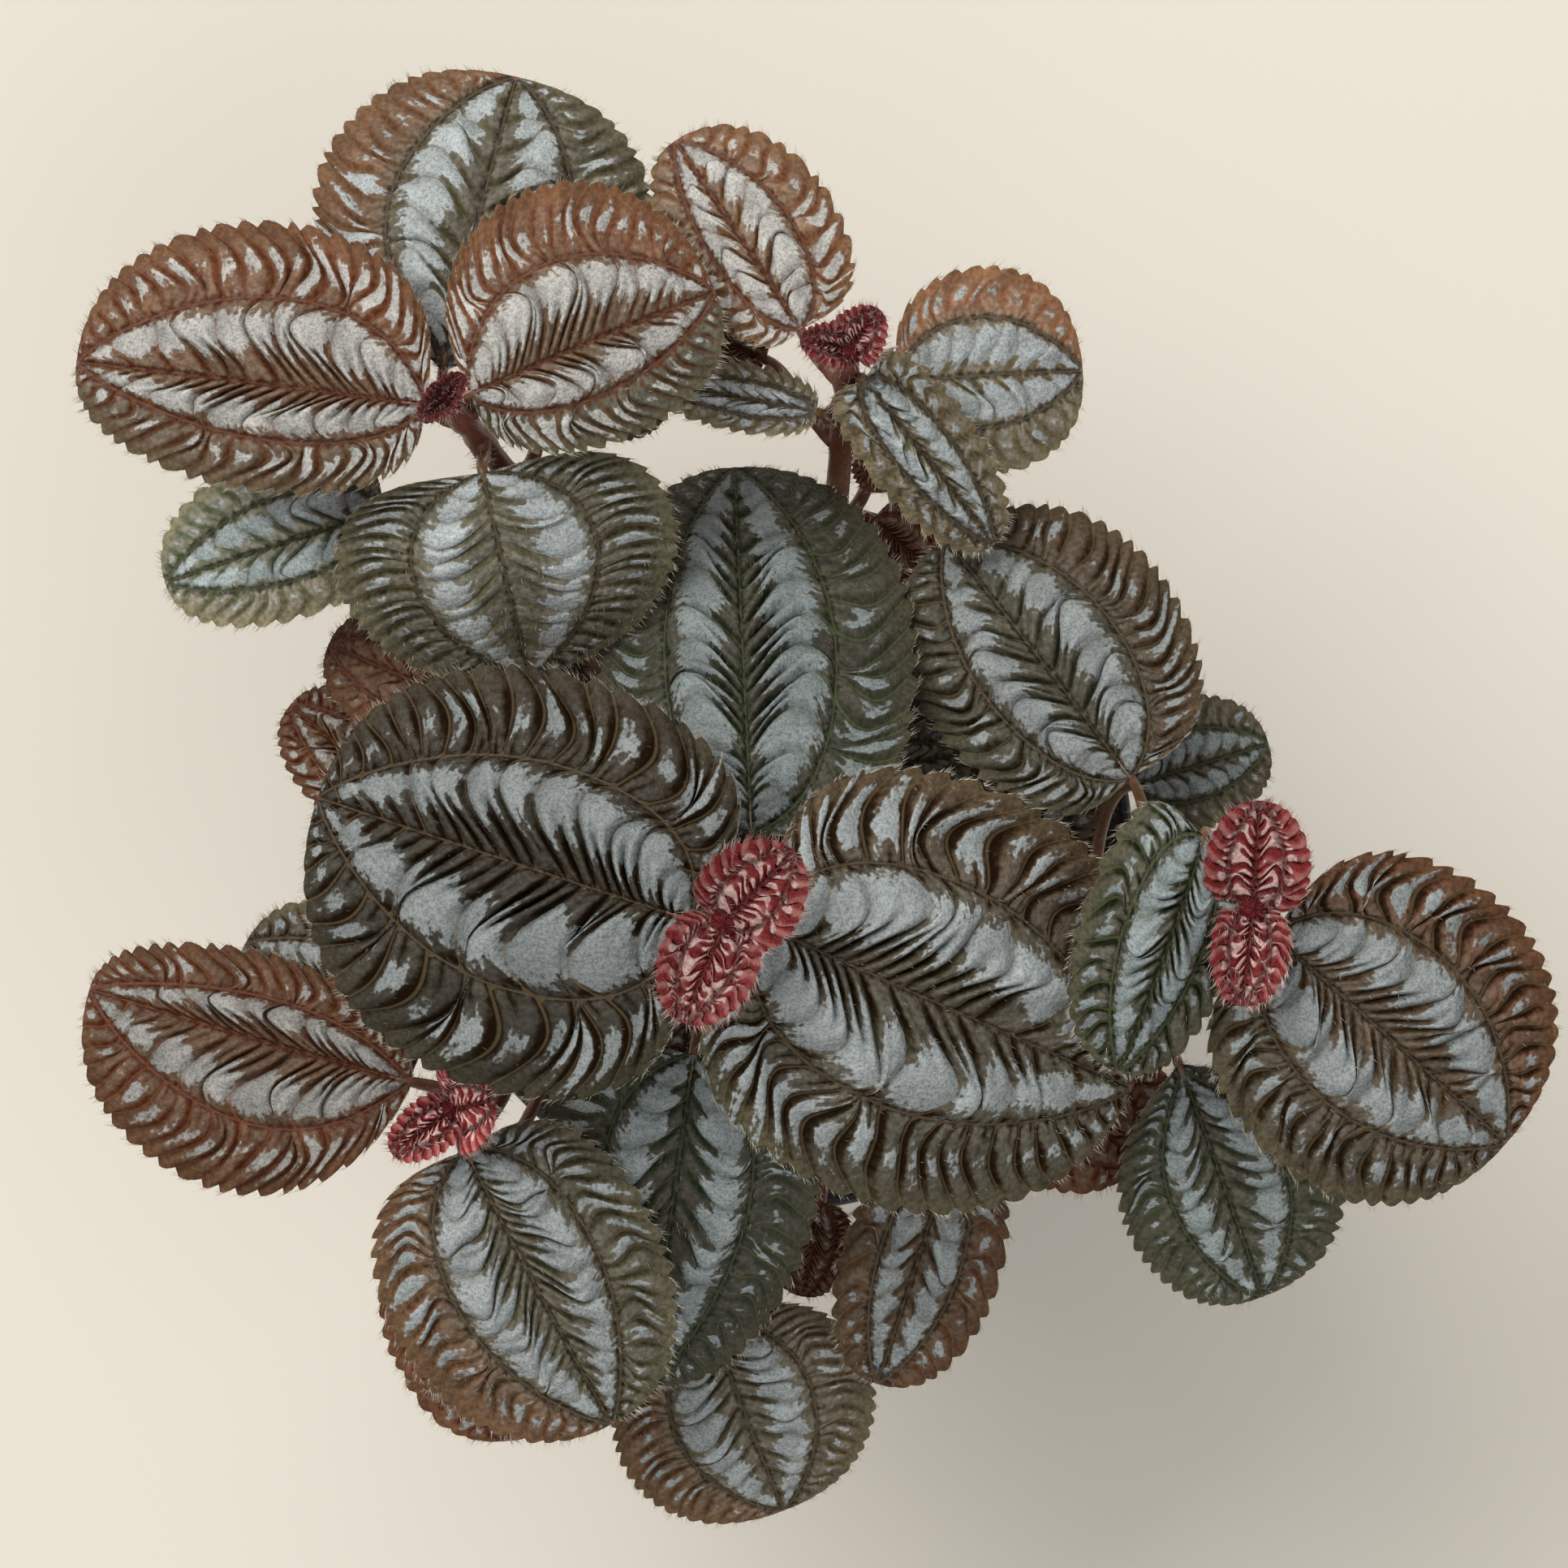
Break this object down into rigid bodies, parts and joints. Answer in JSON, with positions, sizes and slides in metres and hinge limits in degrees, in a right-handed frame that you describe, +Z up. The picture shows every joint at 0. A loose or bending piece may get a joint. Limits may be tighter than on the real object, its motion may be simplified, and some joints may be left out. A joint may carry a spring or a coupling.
{
  "type": "potted friendship plant",
  "caption": "Bushy house plant with quilted, toothed, silver-banded oval leaves in pairs on fleshy stems, red growing tips, in a plain round nursery pot of soil.",
  "frame": {"origin": "centre of the flat underside of the pot, where the pot stands", "axes": "+Z up along the pot's axis; +X towards the plant's longest trailing stem on the picture's right; +Y towards the picture's top"},
  "size_m": [0.2285, 0.2326, 0.2115],
  "materials": {
    "pot_plastic": "moulded black polypropylene, satin",
    "potting_soil": "loose peat and bark mix, weighed as wood at 600 kg/m3",
    "stem": "fleshy red-brown stem with fine hairs",
    "young_leaf": "crinkled crimson young leaf with silver blisters and hairs",
    "leaf_green": "quilted olive-grey leaf with silver bands and dark furrows",
    "leaf_rust": "quilted silver leaf with rust-red margin and furrows"
  },
  "bodies": {
    "root": {"pot": "pot_plastic", "soil": "potting_soil", "stem_a": "stem", "stem_b": "stem", "stem_c": "stem", "stem_d": "stem", "stem_e": "stem", "stem_f": "stem", "stem_g": "stem", "tip_a": "young_leaf", "tip_b": "young_leaf", "tip_c": "young_leaf", "tip_d": "young_leaf", "tip_e": "young_leaf", "leaf_a_left": "leaf_green", "leaf_a_right": "leaf_green", "leaf_a_up": "leaf_green", "leaf_a_down": "leaf_green", "leaf_a_low_up": "leaf_green", "leaf_a_low_left": "leaf_green", "leaf_a_low_down": "leaf_green", "leaf_b_right": "leaf_rust", "leaf_b_left": "leaf_green", "leaf_b_up": "leaf_green", "leaf_b_down": "leaf_green", "leaf_b_back": "leaf_green", "leaf_b_under": "leaf_rust", "leaf_b_low": "leaf_green", "leaf_c_left": "leaf_rust", "leaf_c_right": "leaf_green", "leaf_c_back": "leaf_green", "leaf_c_low_left": "leaf_green", "leaf_c_low_right": "leaf_rust", "leaf_c_low_up": "leaf_green", "leaf_d_left": "leaf_rust", "leaf_d_right": "leaf_rust", "leaf_d_top": "leaf_green", "leaf_d_down": "leaf_green", "leaf_d_small": "leaf_green", "leaf_d_low": "leaf_green", "leaf_d_low_left": "leaf_green", "leaf_e_up": "leaf_rust", "leaf_e_down": "leaf_green", "leaf_e_right": "leaf_rust", "leaf_e_left": "leaf_green", "leaf_e_low_left": "leaf_rust", "leaf_e_low_right": "leaf_rust", "leaf_e_low": "leaf_rust", "leaf_e_low_inner": "leaf_green", "leaf_e_low_front": "leaf_green", "leaf_f_up": "leaf_rust", "leaf_f_left": "leaf_rust", "leaf_f_small": "leaf_green", "leaf_g_down": "leaf_green", "leaf_g_right": "leaf_green", "leaf_g_small": "leaf_rust"}
  },
  "joints": []
}
